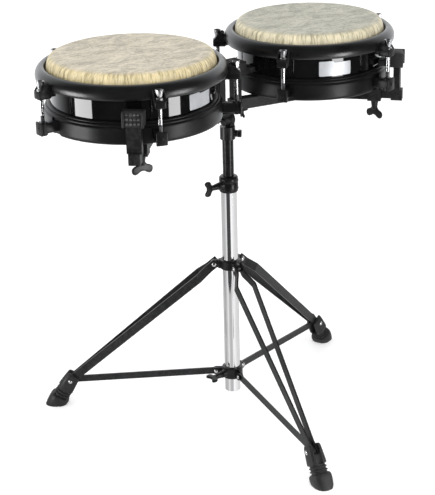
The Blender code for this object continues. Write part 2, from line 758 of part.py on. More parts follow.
def boot(letter):
    """A rubber boot with a forked top that takes the ends of the strips and the brace."""
    turn = LEG_TURNS[letter]
    radius, height = FOOT_RIVET
    lean = atan2(FOOT_CONTACT - radius, height)
    profile = [
        (0.0, 0.0130),
        (0.0118, 0.0130),
        (0.0140, 0.0100),
        (0.0162, -0.0220),
        (0.0145, -0.0240),
        (0.0150, -0.0400),
        (0.0190, -0.0430),
        (0.0195, -0.0560),
        (0.0165, -0.0760),
        (0.0, -0.0760),
    ]
    body = as_mesh(lathe(profile, 20))
    slot = box((0.06, 0.0128, 0.0470), (0, 0, -0.0025))
    floor = box((0.2, 0.2, 0.06), (FOOT_CONTACT, 0, -0.03))
    at = (radius * cos(turn), radius * sin(turn), height)
    place(slot, at, turn, -lean)
    place(floor, turn=turn)
    place(part(cut(body, slot, floor), f"boot_{letter}", RUBBER), at, turn, -lean)


def main():
    tube("base_tube", BASE_RADIUS, BASE_WALL, BASE_BOTTOM, BASE_TOP, CHROME)
    tube("upper_tube", UPPER_RADIUS, UPPER_WALL, UPPER_BOTTOM, UPPER_TOP, BLACK_SATIN)
    height_clamp()
    side_screw("height_screw", 0.0268, HEIGHT_SCREW_Z, HEIGHT_SCREW_TURN, 0.0100, spread=0.82)
    leg_collar()
    brace_collar()
    side_screw("brace_screw", 0.0288, BRACE_PIVOT[1], BRACE_SCREW_TURN, 0.0110, roll=radians(80))
    for letter in LEG_TURNS:
        leg(letter)
        brace(letter)
        boot(letter)
    tilter_base()
    sleeve_screw()
    hub_plate()
    tilt_screw()
    for name in SIDE:
        arm(name)
        sliding_bar(name)
        inner_pad(name)
        drum(name)
    for obj in [*parts.objects, *cutters.objects]:
        if obj.parent is None:
            obj.location += Vector((*POLE, 0))


main()
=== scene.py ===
from math import atan2, cos, pi, radians, sin

import bmesh
import bpy
from mathutils import Matrix, Vector


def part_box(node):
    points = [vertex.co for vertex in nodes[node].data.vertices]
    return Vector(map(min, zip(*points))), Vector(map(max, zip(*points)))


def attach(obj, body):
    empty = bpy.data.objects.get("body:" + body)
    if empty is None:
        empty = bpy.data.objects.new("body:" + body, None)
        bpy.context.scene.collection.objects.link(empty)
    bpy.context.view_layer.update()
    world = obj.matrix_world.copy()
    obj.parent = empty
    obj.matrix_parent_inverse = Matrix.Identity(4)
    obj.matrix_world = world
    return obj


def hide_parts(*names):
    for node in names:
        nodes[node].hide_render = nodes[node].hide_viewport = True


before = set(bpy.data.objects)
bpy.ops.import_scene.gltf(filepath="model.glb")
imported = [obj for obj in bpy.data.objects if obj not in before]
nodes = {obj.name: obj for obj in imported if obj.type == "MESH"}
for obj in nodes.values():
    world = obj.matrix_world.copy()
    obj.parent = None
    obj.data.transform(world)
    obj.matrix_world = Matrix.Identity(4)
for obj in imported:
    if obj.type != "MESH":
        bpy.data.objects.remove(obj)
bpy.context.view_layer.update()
SIDES = {"left": -1, "right": 1}
MM = 0.001

# The CAD's fixed measures that its boxes don't give, in metres from the pole's axis.
SHELL_INSET = 0.004
ROD_OUT = 0.0325
LABEL_Z = 0.6885
LEG_AZIMUTH = {"a": 21, "b": 141, "c": 261}
LEG_PIVOT = (0.031, 0.3040)
BRACE_PIVOT = (0.032, 0.0758)
FOOT_PIVOT = (0.3214, 0.0536)
BOOT_CONTACT = 0.3554
ARM_TURN = radians(8.2)
BAR_TURN = radians(47)
CORNER_OUT = 0.180
SWIVEL_OUT = 0.032
CLAMP_ALONG = 0.119
HEIGHT_SCREW_Z = 0.4660
BRACE_SCREW_Z = 0.0758
SIDE_SCREW_TURN = radians(185)
BAR_SCREW_TURN = {"left": radians(-3), "right": radians(-88)}
SLEEVE_SCREW_TURN = radians(-42)
FLOOR_GLOW = (0.30, 0.62)  # near and far
CARD_RADIANCE = 11.5
VIEW_DIRECTION = (0.5707, 0.8211, 0.0)


def middle(node):
    lo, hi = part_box(node)
    return (lo + hi) / 2


def shell_radius(name):
    lo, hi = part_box(f"shell_{name}")
    return (hi.x - lo.x) / 2


def above_pole(out, distance, height):
    """The point that is this far out from the pole's axis, at this height."""
    return Vector((*POLE, 0)) + out * distance + Vector((0, 0, height))


POLE = middle("base_tube").xy
HEAD_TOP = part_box("head_left")[1].z


# ---------------------------------------------------------------- materials


class Nodes:
    """A material's node tree, with short ways to add to it."""

    def __init__(self, name):
        self.material = bpy.data.materials.new(name)
        self.material.use_nodes = True
        self.tree = self.material.node_tree
        self.shader = self.tree.nodes["Principled BSDF"]
        self.coords = self.add("ShaderNodeTexCoord")

    def add(self, kind, values=None, links=None, **settings):
        node = self.tree.nodes.new(kind)
        for key, value in settings.items():
            setattr(node, key, value)
        for key, value in (values or {}).items():
            node.inputs[key].default_value = value
        for key, source in (links or {}).items():
            self.link(source, node.inputs[key])
        return node

    def link(self, source, target):
        output = source if isinstance(source, bpy.types.NodeSocket) else source.outputs[0]
        self.tree.links.new(output, target)

    def math(self, operation, first, second, clamp=False):
        node = self.add("ShaderNodeMath", operation=operation, use_clamp=clamp)
        for socket, value in zip(node.inputs, (first, second)):
            if isinstance(value, (int, float)):
                socket.default_value = value
            else:
                self.link(value, socket)
        return node

    def place(self, scale, rotation=(0, 0, 0)):
        return self.add(
            "ShaderNodeMapping",
            {"Scale": scale, "Rotation": rotation},
            {"Vector": self.coords.outputs["Object"]},
        )

    def noise(self, vector, scale, detail=4.0, roughness=0.55, distortion=0.0):
        return self.add(
            "ShaderNodeTexNoise",
            {"Scale": scale, "Detail": detail, "Roughness": roughness, "Distortion": distortion},
            {"Vector": vector},
        )

    def ramp(self, factor, stops):
        node = self.add("ShaderNodeValToRGB", links={"Fac": factor})
        ramp = node.color_ramp
        while len(ramp.elements) < len(stops):
            ramp.elements.new(0.5)
        for element, (position, colour) in zip(ramp.elements, stops):
            element.position = position
            element.color = (*colour, 1.0) if len(colour) == 3 else colour
        return node

    def mix(self, factor, first, second):
        node = self.add("ShaderNodeMix", data_type="RGBA")
        for index, value in ((0, factor), (6, first), (7, second)):
            if isinstance(value, (int, float, tuple)):
                node.inputs[index].default_value = value
            else:
                self.link(value, node.inputs[index])
        return node.outputs[2]

    def fit(self, value, low, high, start=0.0, end=1.0):
        return self.add(
            "ShaderNodeMapRange",
            {"From Min": start, "From Max": end, "To Min": low, "To Max": high},
            {"Value": value},
            clamp=True,
        )

    def bump(self, height, strength, distance, before=None):
        links = {"Height": height}
        if before is not None:
            links["Normal"] = before
        return self.add("ShaderNodeBump", {"Strength": strength, "Distance": distance}, links)


def painted(name, colour, rough, grain=1500.0, depth=0.03, wear_and_sheen=0.35, ior=1.5, peel=0.0, dust_and_sheen=0.15):
    """Paint or moulding: fine grain, cloudy gloss, lighter handled edges and a little dust on top; set high,
    as for the studs, the lighter edges and tops are a painted highlight.
    """
    n = Nodes(name)
    place = n.place((1, 1, 1))
    cloud = n.noise(place, 22.0, 5.0)
    fine = n.noise(place, grain, 2.0)
    dark = tuple(c * 0.75 for c in colour)
    light = tuple(c * 1.35 + 0.001 for c in colour)
    body = n.ramp(cloud.outputs["Fac"], [(0.3, dark), (0.7, light)])
    geometry = n.add("ShaderNodeNewGeometry")
    # Lighter edges: handled wear on most finishes, a painted highlight where set high, as on the studs.
    edge = n.fit(geometry.outputs["Pointiness"], 0.0, wear_and_sheen, 0.53, 0.60)
    scuffs_and_sheen = n.math("MULTIPLY", edge, n.fit(n.noise(place, 160.0, 4.0).outputs["Fac"], 0.1, 1.0, 0.42, 0.62))
    rubbed_and_sheen = tuple(min(c * 4 + 0.03, 1.0) for c in colour)
    base = n.mix(scuffs_and_sheen, body, (*rubbed_and_sheen, 1.0))
    # Light specks on upward faces: dust on most finishes, a painted highlight on the studs' tops where set
    # high.
    up = n.add("ShaderNodeSeparateXYZ", links={"Vector": geometry.outputs["Normal"]})
    top = n.fit(up.outputs["Z"], 0.0, dust_and_sheen, 0.6, 1.0)
    top_specks_and_sheen = n.math("MULTIPLY", top, n.fit(n.noise(place, 900.0, 3.0).outputs["Fac"], 0.0, 1.0, 0.5, 0.75))
    base = n.mix(top_specks_and_sheen, base, (0.10, 0.098, 0.094, 1.0))
    n.link(base, n.shader.inputs["Base Color"])
    gloss = n.fit(cloud.outputs["Fac"], rough * 0.82, min(rough * 1.2, 1.0), 0.25, 0.75)
    n.link(gloss, n.shader.inputs["Roughness"])
    height = n.bump(fine.outputs["Fac"], 0.6, depth * MM)
    if peel:
        height = n.bump(n.noise(place, 260.0, 1.0).outputs["Fac"], 0.25, peel * MM, height)
    n.link(height, n.shader.inputs["Normal"])
    n.shader.inputs["IOR"].default_value = ior
    return n.material


def plated(name, rough=0.05, colour=(0.83, 0.83, 0.84)):
    """Chrome plate with faint smears and hairline scratches along its length."""
    n = Nodes(name)
    smear = n.noise(n.place((1, 1, 0.25)), 60.0, 5.0, 0.6, 0.6)
    hair = n.noise(n.place((1, 1, 0.02)), 2600.0, 2.0)
    tint = tuple(c * 0.93 for c in colour)
    n.link(n.ramp(smear.outputs["Fac"], [(0.35, tint), (0.65, colour)]), n.shader.inputs["Base Color"])
    n.link(n.fit(smear.outputs["Fac"], rough * 0.6, rough * 1.9, 0.3, 0.75), n.shader.inputs["Roughness"])
    n.link(n.bump(hair.outputs["Fac"], 0.12, 0.004 * MM), n.shader.inputs["Normal"])
    n.shader.inputs["Metallic"].default_value = 1.0
    return n.material


def rubber(name):
    n = Nodes(name)
    place = n.place((1, 1, 1))
    cloud = n.noise(place, 45.0, 6.0)
    fine = n.noise(place, 1300.0, 3.0)
    geometry = n.add("ShaderNodeNewGeometry")
    edge = n.fit(geometry.outputs["Pointiness"], 0.0, 0.7, 0.52, 0.6)
    body = n.ramp(cloud.outputs["Fac"], [(0.3, (0.005, 0.005, 0.005)), (0.7, (0.011, 0.011, 0.011))])
    dusty = n.math("MULTIPLY", edge, n.fit(fine.outputs["Fac"], 0.2, 1.0, 0.35, 0.65))
    n.link(n.mix(dusty, body, (0.030, 0.029, 0.028, 1.0)), n.shader.inputs["Base Color"])
    n.link(n.fit(cloud.outputs["Fac"], 0.5, 0.72, 0.3, 0.7), n.shader.inputs["Roughness"])
    n.link(n.bump(fine.outputs["Fac"], 0.7, 0.05 * MM), n.shader.inputs["Normal"])
    return n.material


def hide(name, flat, collar, streak, pale, strength):
    """Skin-like drum film: mottled fibres on the flat, dense upright streaks on the collar. The collar is
    lighter than the flat partly as the skin's own yellower collar and partly as painted light, making up for
    the weaker light on its upright face.
    """
    n = Nodes(name)
    along = (0.0, 0.0, radians(34.8))
    fibres = n.noise(n.place((70, 190, 60), along), 1.0, 6.0, 0.65, 1.6)
    blotch = n.noise(n.place((15, 34, 20), along), 1.0, 5.0, 0.65, 2.0)
    threads = n.noise(n.place((130, 620, 100), along), 1.0, 3.0, 0.5, 2.5)
    flecks = n.noise(n.place((90, 170, 60), along), 1.0, 4.0, 0.7, 3.0)
    dark = tuple(c * 0.60 for c in flat)
    light = tuple(min(c * 1.3 + 0.02, 1.0) for c in flat)
    fine_share = n.math("MULTIPLY", fibres.outputs["Fac"], 0.55)
    blotch_share = n.math("MULTIPLY", blotch.outputs["Fac"], 0.45)
    sum_fibres = n.math("ADD", fine_share, blotch_share)
    field = n.ramp(sum_fibres, [(0.42, dark), (0.5, flat), (0.58, light)])
    line = n.fit(threads.outputs["Fac"], 0.0, 0.5, 0.57, 0.72)
    field = n.mix(line, field, (*(c * 0.62 for c in flat), 1.0))
    white = n.fit(flecks.outputs["Fac"], 0.0, 0.6, 0.56, 0.72)
    field = n.mix(white, field, (*pale, 1.0))

    split = n.add("ShaderNodeSeparateXYZ", links={"Vector": n.coords.outputs["Object"]})
    flat_xy = n.add("ShaderNodeCombineXYZ", links={"X": split.outputs["X"], "Y": split.outputs["Y"]})
    around = n.add("ShaderNodeVectorMath", links={0: flat_xy}, operation="NORMALIZE")
    lift = n.math("MULTIPLY", split.outputs["Z"], 0.9)
    rise = n.add("ShaderNodeCombineXYZ", links={"Z": lift})
    upright = n.add("ShaderNodeVectorMath", links={0: around, 1: rise}, operation="ADD")
    wide = n.noise(upright, 15.0, 4.0, 0.6, 0.5)
    narrow = n.noise(upright, 42.0, 3.0, 0.6, 0.5)
    hairs = n.noise(upright, 150.0, 3.0, 0.6, 0.4)
    patch = n.noise(upright, 5.0, 4.0, 0.6)
    dark_lines = n.math(
        "ADD",
        n.fit(narrow.outputs["Fac"], 0.0, 0.85, 0.52, 0.61),
        n.fit(wide.outputs["Fac"], 0.0, 0.45, 0.50, 0.62),
        clamp=True,
    )
    dark_lines = n.math("MULTIPLY", dark_lines, strength, clamp=True)
    # Collar colour: partly the skin's own yellower tone, partly painted light for the upright face's weaker
    # lighting.
    side = n.ramp(patch.outputs["Fac"], [(0.38, tuple(c * 0.80 for c in collar)), (0.62, collar)])
    side = n.mix(n.fit(hairs.outputs["Fac"], 0.0, 0.6, 0.5, 0.7), side, (*pale, 1.0))
    side = n.mix(dark_lines, side, (*streak, 1.0))
    drop = n.math("SUBTRACT", HEAD_TOP, split.outputs["Z"])
    ragged = n.math("MULTIPLY_ADD", wide.outputs["Fac"], 0.006)
    ragged.inputs[2].default_value = -0.003
    edge = n.fit(n.math("ADD", drop, ragged), 0.0, 1.0, 0.0002, 0.0038)
    low = n.fit(drop, 0.0, 0.25, 0.014, 0.026)
    side = n.mix(low, side, (*(c * 0.55 for c in streak), 1.0))
    n.link(n.mix(edge, field, side), n.shader.inputs["Base Color"])
    n.link(n.fit(fibres.outputs["Fac"], 0.42, 0.62, 0.3, 0.7), n.shader.inputs["Roughness"])
    first = n.bump(fibres.outputs["Fac"], 0.35, 0.12 * MM)
    gate = n.math("MULTIPLY", edge, narrow.outputs["Fac"])
    n.link(n.bump(gate, 0.55, 0.35 * MM, first), n.shader.inputs["Normal"])
    n.shader.inputs["Subsurface Weight"].default_value = 0.0
    n.shader.inputs["Specular IOR Level"].default_value = 0.4
    return n.material


def brushed_label(name):
    """A blank, satin foil plate."""
    n = Nodes(name)
    grain = n.noise(n.place((30, 30, 1800)), 1.0, 3.0)
    cloud = n.noise(n.place((1, 1, 1)), 50.0, 4.0)
    n.link(
        n.ramp(cloud.outputs["Fac"], [(0.3, (0.40, 0.41, 0.43)), (0.7, (0.48, 0.49, 0.51))]),
        n.shader.inputs["Base Color"],
    )
    n.link(n.fit(grain.outputs["Fac"], 0.28, 0.42, 0.3, 0.7), n.shader.inputs["Roughness"])
    n.link(n.bump(grain.outputs["Fac"], 0.2, 0.02 * MM), n.shader.inputs["Normal"])
    n.shader.inputs["Metallic"].default_value = 0.25
    return n.material


GLOSS = painted("shell_lacquer", (0.0022, 0.0022, 0.0025), 0.045, 900.0, 0.002, 0.0, 1.55, 0.004, 0.02)
RIM = painted("rim_satin_black", (0.0040, 0.0040, 0.0044), 0.31, 1900.0, 0.012, 0.05, 1.55, 0.0, 0.03)
HOOP = painted("hoop_satin_black", (0.0050, 0.0050, 0.0055), 0.34, 1700.0, 0.014, 0.06, 1.29, 0.01, 0.03)
CAST = painted("cast_black", (0.0045, 0.0045, 0.0050), 0.30, 700.0, 0.03, 0.25, 1.33, 0.02, 0.06)
POWDER = painted("powder_black", (0.0060, 0.0060, 0.0064), 0.46, 1500.0, 0.045, 0.2, 1.27, 0.015, 0.04)
LEG = painted("leg_powder_grey", (0.0065, 0.0067, 0.0072), 0.38, 1300.0, 0.05, 0.25, 1.36, 0.02, 0.10)
TUBE_BLACK = painted("tube_black", (0.0048, 0.0048, 0.0052), 0.24, 1500.0, 0.01, 0.2, 1.29, 0.01, 0.04)
# Studs: a light colour with strong edge and top lightening, a painted highlight standing in for the glints on
# the pad's bumps.
STUD_PAINTED_HIGHLIGHT = painted("stud_painted_highlight", (0.0300, 0.0300, 0.0300), 0.20, 900.0, 0.01, 0.6, 1.6, 0.0, 0.5)
INSIDE = painted("inside_matt_black", (0.010, 0.010, 0.010), 0.7, 600.0, 0.06, 0.0, 1.45)
CHROME = plated("chrome_plate")
ROD_PLATE = plated("rod_plate", 0.24, (0.66, 0.66, 0.67))
STEEL = plated("rivet_steel", 0.16, (0.72, 0.72, 0.72))
RUBBER = rubber("boot_rubber")
LABEL = brushed_label("blank_label")
# The collar colours sit well above the flat colours: partly the skin's own yellower collar, partly painted
# light making up for the upright collar's weaker lighting.
SKIN = {
    "left": hide(
        "skin_warm", (0.425, 0.378, 0.292), (0.64, 0.535, 0.30), (0.25, 0.20, 0.10), (0.84, 0.78, 0.62), 0.85
    ),
    "right": hide(
        "skin_olive", (0.325, 0.316, 0.252), (0.66, 0.59, 0.41), (0.26, 0.23, 0.14), (0.80, 0.77, 0.64), 0.9
    ),
}


# ---------------------------------------------------------------- shapes


def spline(points, per=5, closed=True):
    """A smooth line through the points."""
    count = len(points)
    spans = count if closed else count - 1
    out = []
    for i in range(spans):
        if closed:
            a, b, c, d = (Vector(points[(i + k) % count]) for k in (-1, 0, 1, 2))
        else:
            a, b, c, d = (Vector(points[min(max(i + k, 0), count - 1)]) for k in (-1, 0, 1, 2))
        for k in range(per):
            t = k / per
            p = 2 * b + (c - a) * t + (2 * a - 5 * b + 4 * c - d) * t * t + (3 * b - a - 3 * c + d) * t ** 3
            out.append(tuple(p / 2))
    if not closed:
        out.append(tuple(points[-1]))
    return out


def add_lathe(bm, profile, steps, closed=True, matrix=Matrix.Identity(4)):
    """Turn (radius, height) points about Z. An open profile may start and end on the axis."""
    rings = []
    for radius, height in profile:
        if radius < 1e-6:
            rings.append([bm.verts.new(matrix @ Vector((0, 0, height)))])
            continue
        ring = []
        for k in range(steps):
            a = 2 * pi * k / steps
            ring.append(bm.verts.new(matrix @ Vector((radius * cos(a), radius * sin(a), height))))
        rings.append(ring)
    pairs = list(zip(rings, rings[1:]))
    if closed:
        pairs.append((rings[-1], rings[0]))
    for upper, lower in pairs:
        for k in range(steps):
            m = (k + 1) % steps
            if len(upper) == 1:
                bm.faces.new((upper[0], lower[k], lower[m]))
            elif len(lower) == 1:
                bm.faces.new((upper[k], lower[0], upper[m]))
            else:
                bm.faces.new((upper[k], lower[k], lower[m], upper[m]))


def add_block(bm, size, centre=(0, 0, 0), bevel=0.001, segments=3, matrix=Matrix.Identity(4), taper=1.0):
    """A block with rounded edges. Taper narrows its upper end."""
    part = bmesh.new()
    bmesh.ops.create_cube(part, size=1.0)
    for v in part.verts:
        narrow = taper if v.co.z > 0 else 1.0
        v.co = Vector((v.co.x * size[0] * narrow, v.co.y * size[1] * narrow, v.co.z * size[2]))
    if bevel:
        edges = part.edges[:]
        bmesh.ops.bevel(part, geom=edges, offset=bevel, segments=segments, profile=0.5, affect="EDGES")
    bmesh.ops.transform(part, matrix=matrix @ Matrix.Translation(centre), verts=part.verts)
    absorb(bm, part)


def add_plate(bm, outline, thickness, bevel=0.0008, segments=3, matrix=Matrix.Identity(4)):
    """A flat outline in XY, thick along Z, with rounded rims."""
    part = bmesh.new()
    lower = [part.verts.new((x, y, -thickness / 2)) for x, y in outline]
    face = part.faces.new(lower)
    made = bmesh.ops.extrude_face_region(part, geom=[face])
    top = [v for v in made["geom"] if isinstance(v, bmesh.types.BMVert)]
    bmesh.ops.translate(part, vec=(0, 0, thickness), verts=top)
    bmesh.ops.recalc_face_normals(part, faces=part.faces)
    if bevel:
        rims = [e for e in part.edges if abs(e.verts[0].co.z - e.verts[1].co.z) < 1e-7]
        bmesh.ops.bevel(part, geom=rims, offset=bevel, segments=segments, profile=0.5, affect="EDGES")
    bmesh.ops.transform(part, matrix=matrix, verts=part.verts)
    absorb(bm, part)


def absorb(bm, part):
    mesh = bpy.data.meshes.new("part")
    part.to_mesh(mesh)
    part.free()
    bm.from_mesh(mesh)
    bpy.data.meshes.remove(mesh)


def piece(name, bm, material, body, replaces=(), origin=(0, 0, 0), turn=0.0, sharp=38):
    """Make a piece from mesh data that is laid out about its origin, in place and on its body."""
    bmesh.ops.recalc_face_normals(bm, faces=bm.faces)
    mesh = bpy.data.meshes.new(name)
    bm.to_mesh(mesh)
    bm.free()
    mesh.materials.append(material)
    mesh.shade_smooth()
    mesh.set_sharp_from_angle(angle=radians(sharp))
    obj = bpy.data.objects.new(name, mesh)
    bpy.context.scene.collection.objects.link(obj)
    obj.location = origin
    obj.rotation_euler = (0, 0, turn)
    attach(obj, body)
    if replaces:
        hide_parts(*replaces)
    return obj


def cut_with(obj, bm):
    """Cut a piece with a helper shape laid out in the piece's own frame."""
    mesh = bpy.data.meshes.new("cutter")
    bmesh.ops.recalc_face_normals(bm, faces=bm.faces)
    bm.to_mesh(mesh)
    bm.free()
    cutter = bpy.data.objects.new("cutter", mesh)
    bpy.context.scene.collection.objects.link(cutter)
    cutter.matrix_world = obj.matrix_world
    step = obj.modifiers.new("cut", "BOOLEAN")
    step.operation = "DIFFERENCE"
    step.solver = "EXACT"
    step.object = cutter
    bpy.context.view_layer.update()
    graph = bpy.context.evaluated_depsgraph_get()
    result = bpy.data.meshes.new_from_object(obj.evaluated_get(graph))
    obj.modifiers.clear()
    obj.data = result
    obj.data.shade_smooth()
    obj.data.set_sharp_from_angle(angle=radians(38))
    bpy.data.objects.remove(cutter)


def keep(node, material, bevel=0.0, segments=2):
    """Keep a CAD node, with a better material and softened edges."""
    obj = nodes[node]
    obj.data.materials.clear()
    obj.data.materials.append(material)
    if bevel:
        step = obj.modifiers.new("soft_edges", "BEVEL")
        step.width = bevel
        step.segments = segments
        step.limit_method = "ANGLE"
        step.angle_limit = radians(40)
        step.harden_normals = False


def about(axis, angle):
    return Matrix.Rotation(angle, 4, axis)


def move(x, y, z):
    return Matrix.Translation((x, y, z))


# ---------------------------------------------------------------- drums


def drum(name):
    side = SIDES[name]
    radius = shell_radius(name) + SHELL_INSET
    centre = (middle(f"shell_{name}").x, middle(f"shell_{name}").y, 0)
    turns = [(pi if side < 0 else 0) + side * k * 2 * pi / 5 for k in range(5)]
    body = f"arm_{name}"
    top = HEAD_TOP

    line = spline(
        [
            (radius - 0.0230, top),
            (radius - 0.0170, top - 0.0003),
            (radius - 0.0112, top - 0.0014),
            (radius - 0.0066, top - 0.0038),
            (radius - 0.0035, top - 0.0078),
            (radius - 0.0015, top - 0.0138),
            (radius, top - 0.0232),
            (radius + 0.0002, top - 0.0305),
        ],
        5,
        closed=False,
    )
    under = [(x - 0.0011, z - 0.0008) for x, z in reversed(line)]
    flat = [(0, top)] + [(radius * f, top) for f in (0.15, 0.3, 0.45, 0.6, 0.75)]
    back = [(radius * f, top - 0.0011) for f in (0.8, 0.55, 0.3)] + [(0, top - 0.0011)]
    bm = bmesh.new()
    add_lathe(bm, flat + line + under + back, 192, closed=False)
    piece(f"skin_{name}", bm, SKIN[name], body, [f"head_{name}"], centre, sharp=50)

    bm = bmesh.new()
    corners = ((0.6, 722.1), (5.0, 722.1), (5.0, 716.2), (0.6, 716.2))
    section = [(radius + x * MM, z * MM) for x, z in corners]
    add_lathe(bm, section, 96)
    piece(f"flesh_hoop_{name}", bm, CAST, body, (), centre)

    rim(name, radius, centre, turns, body)
    shell(name, radius, centre, body)
    lower_hoop(name, radius, centre, turns, body)
    lugs(name, radius, centre, turns, body)
    rods(name, radius, centre, turns)
    label(name, radius, centre, body)


def rim(name, radius, centre, turns, body):
    """The rounded playing rim, and a casting at each rod that hooks under it."""
    outline = [
        (1.4, 728.0), (1.9, 732.0), (3.4, 735.2), (6.4, 736.5), (10.2, 735.9), (13.8, 733.4), (17.0, 729.6),
        (19.0, 724.8), (19.5, 719.6), (18.9, 714.9), (17.2, 712.0), (14.8, 711.6), (12.2, 713.6),
        (8.6, 715.2),
        (6.0, 717.4), (5.6, 721.6), (3.6, 722.6), (1.7, 723.6),
    ]
    bm = bmesh.new()
    add_lathe(bm, [(radius + x * MM, z * MM) for x, z in spline(outline, 3)], 176)
    piece(f"rim_{name}_smooth", bm, RIM, body, [f"rim_{name}"], centre, sharp=60)

    bm = bmesh.new()
    for turn in turns:
        at = about("Z", turn) @ move(radius, 0, 0)
        add_block(bm, (0.0245, 0.0196, 0.0142), (0.0288, 0, 0.7083), 0.0026, 4, at)
        add_block(bm, (0.0130, 0.0150, 0.0105), (0.0135, 0, 0.7082), 0.0022, 3, at)
        for edge in (-1, 1):
            cheek = [(0.0195, 0.7120), (0.0195, 0.7262), (0.0235, 0.7292), (0.0335, 0.7236), (0.0395, 0.7150)]
            cheek.append((0.0395, 0.7120))
            upright = at @ move(0, edge * 0.0094, 0) @ about("X", pi / 2)
            add_plate(bm, cheek, 0.0021, 0.0007, 2, upright)
        washer = [(0.0067, 0.7166), (0.0078, 0.7160), (0.0078, 0.7150), (0.0044, 0.7150), (0.0044, 0.7166)]
        add_lathe(bm, washer, 28, True, at @ move(ROD_OUT, 0, -0.0003))
    piece(f"claws_{name}", bm, CAST, body, (), centre)


def shell(name, radius, centre, body):
    outer, inner = radius - SHELL_INSET, radius - 0.010
    top, bottom = HEAD_TOP, 0.6345
    edge = [(inner, top - 0.0066), (inner + 0.0012, top - 0.0046), (inner + 0.0025, top - 0.0064)]
    edge += [(outer - 0.0015, top - 0.0090), (outer - 0.0003, top - 0.0126), (outer, top - 0.0160)]
    wall = [(outer, 0.715), (outer, 0.695), (outer, 0.675), (outer, 0.655), (outer, bottom + 0.0006)]
    wall += [(outer - 0.0006, bottom), (inner + 0.0006, bottom), (inner, bottom + 0.0006)]
    bm = bmesh.new()
    add_lathe(bm, edge + wall + [(inner, 0.69)], 192)
    piece(f"shell_{name}_lacquered", bm, GLOSS, body, [f"shell_{name}"], centre)
    bm = bmesh.new()
    lining = [(inner - 0.0003, top - 0.009), (inner - 0.0003, bottom + 0.001)]
    lining += [(inner - 0.0009, bottom + 0.001), (inner - 0.0009, top - 0.009)]
    add_lathe(bm, lining, 128)
    piece(f"shell_lining_{name}", bm, INSIDE, body, (), centre)


def lower_hoop(name, radius, centre, turns, body):
    """The wide lower hoop with two beads on its shoulder, notched for the lugs."""
    curve = [
        (-3.7, 671.6), (-1.4, 671.7), (0.4, 671.3), (1.5, 670.2), (1.7, 668.9), (1.9, 667.9), (3.3, 668.0),
        (4.9, 667.2), (5.5, 665.6), (5.5, 664.2), (6.1, 663.2), (7.4, 662.0), (8.0, 660.2), (8.1, 655.0),
        (8.1, 647.0), (8.1, 641.0), (7.8, 637.4), (6.8, 634.4), (4.6, 632.6), (1.6, 632.0), (-3.7, 632.0),
    ]
    line = spline([(radius + x * MM, z * MM) for x, z in curve], 3, closed=False)
    bm = bmesh.new()
    add_lathe(bm, line, 192)
    obj = piece(f"lower_hoop_{name}_beaded", bm, HOOP, body, [f"lower_hoop_{name}"], centre)
    tool = bmesh.new()
    for turn in turns:
        add_block(tool, (0.0200, 0.0240, 0.0400), (radius + 0.0105, 0, 0.6428), 0.0, 1, about("Z", turn))
    cut_with(obj, tool)


def lugs(name, radius, centre, turns, body):
    """Cast lugs: a rounded bar with a wider end plate and a barrel round the rod."""
    bm = bmesh.new()
    for turn in turns:
        at = about("Z", turn) @ move(radius, 0, 0)
        add_block(bm, (0.0370, 0.0158, 0.0180), (0.0196, 0, 0.6497), 0.0032, 4, at)
        add_block(bm, (0.0046, 0.0198, 0.0232), (0.0394, 0, 0.6498), 0.0018, 3, at)
        add_block(bm, (0.0040, 0.0215, 0.0245), (0.0028, 0, 0.6490), 0.0014, 3, at)
        barrel = [(0.0046, 0.6612), (0.0070, 0.6612), (0.0078, 0.6602), (0.0078, 0.6388), (0.0070, 0.6378)]
        barrel.append((0.0046, 0.6378))
        add_lathe(bm, barrel, 36, True, at @ move(ROD_OUT, 0, 0))
        screw = [(0.0, 0.0013), (0.0022, 0.0012), (0.0034, 0.0004), (0.0034, -0.001), (0.0, -0.001)]
        add_lathe(bm, screw, 20, False, at @ move(0.0417, 0, 0.6498) @ about("Y", pi / 2))
    names = [f"lug_{name}_{k}" for k in range(1, 6)]
    piece(f"lugs_{name}", bm, CAST, body, names, centre)


def rods(name, radius, centre, turns):
    """Plated tension rods: flared hexagon heads with a socket, and a rolled thread at the lower end."""
    for number, turn in enumerate(turns, 1):
        bm = bmesh.new()
        head = bmesh.new()
        bmesh.ops.create_cone(head, cap_ends=True, segments=6, radius1=0.0059, radius2=0.0074, depth=0.0112)
        crown = max(head.faces, key=lambda f: f.calc_center_median().z)
        bmesh.ops.inset_region(head, faces=[crown], thickness=0.0028)
        bmesh.ops.translate(head, vec=(0, 0, -0.0040), verts=crown.verts)
        edges = [e for e in head.edges if e.is_manifold and e.calc_face_angle(0) > radians(25)]
        bmesh.ops.bevel(head, geom=edges, offset=0.0007, segments=3, profile=0.5, affect="EDGES")
        bmesh.ops.translate(head, vec=(0, 0, 0.7272), verts=head.verts)
        absorb(bm, head)
        collar = [(0.0, 0.7238), (0.0052, 0.7234), (0.0046, 0.7205), (0.0052, 0.7188), (0.0066, 0.7181)]
        collar += [(0.0069, 0.7172), (0.0069, 0.7164), (0.0064, 0.7159), (0.0038, 0.7159), (0.0038, 0.6740)]
        z = 0.6732
        while z > 0.6400:
            collar += [(0.0038, z), (0.0034, z - 0.0004)]
            z -= 0.0008
        collar += [(0.0034, 0.6396), (0.0026, 0.6382), (0.0, 0.6381)]
        add_lathe(bm, collar, 28, False)
        x = centre[0] + (radius + ROD_OUT) * cos(turn)
        y = centre[1] + (radius + ROD_OUT) * sin(turn)
        rod = f"tension_rod_{name}_{number}"
        piece(f"{rod}_plated", bm, ROD_PLATE, rod, [rod], (x, y, 0), turn, 30)


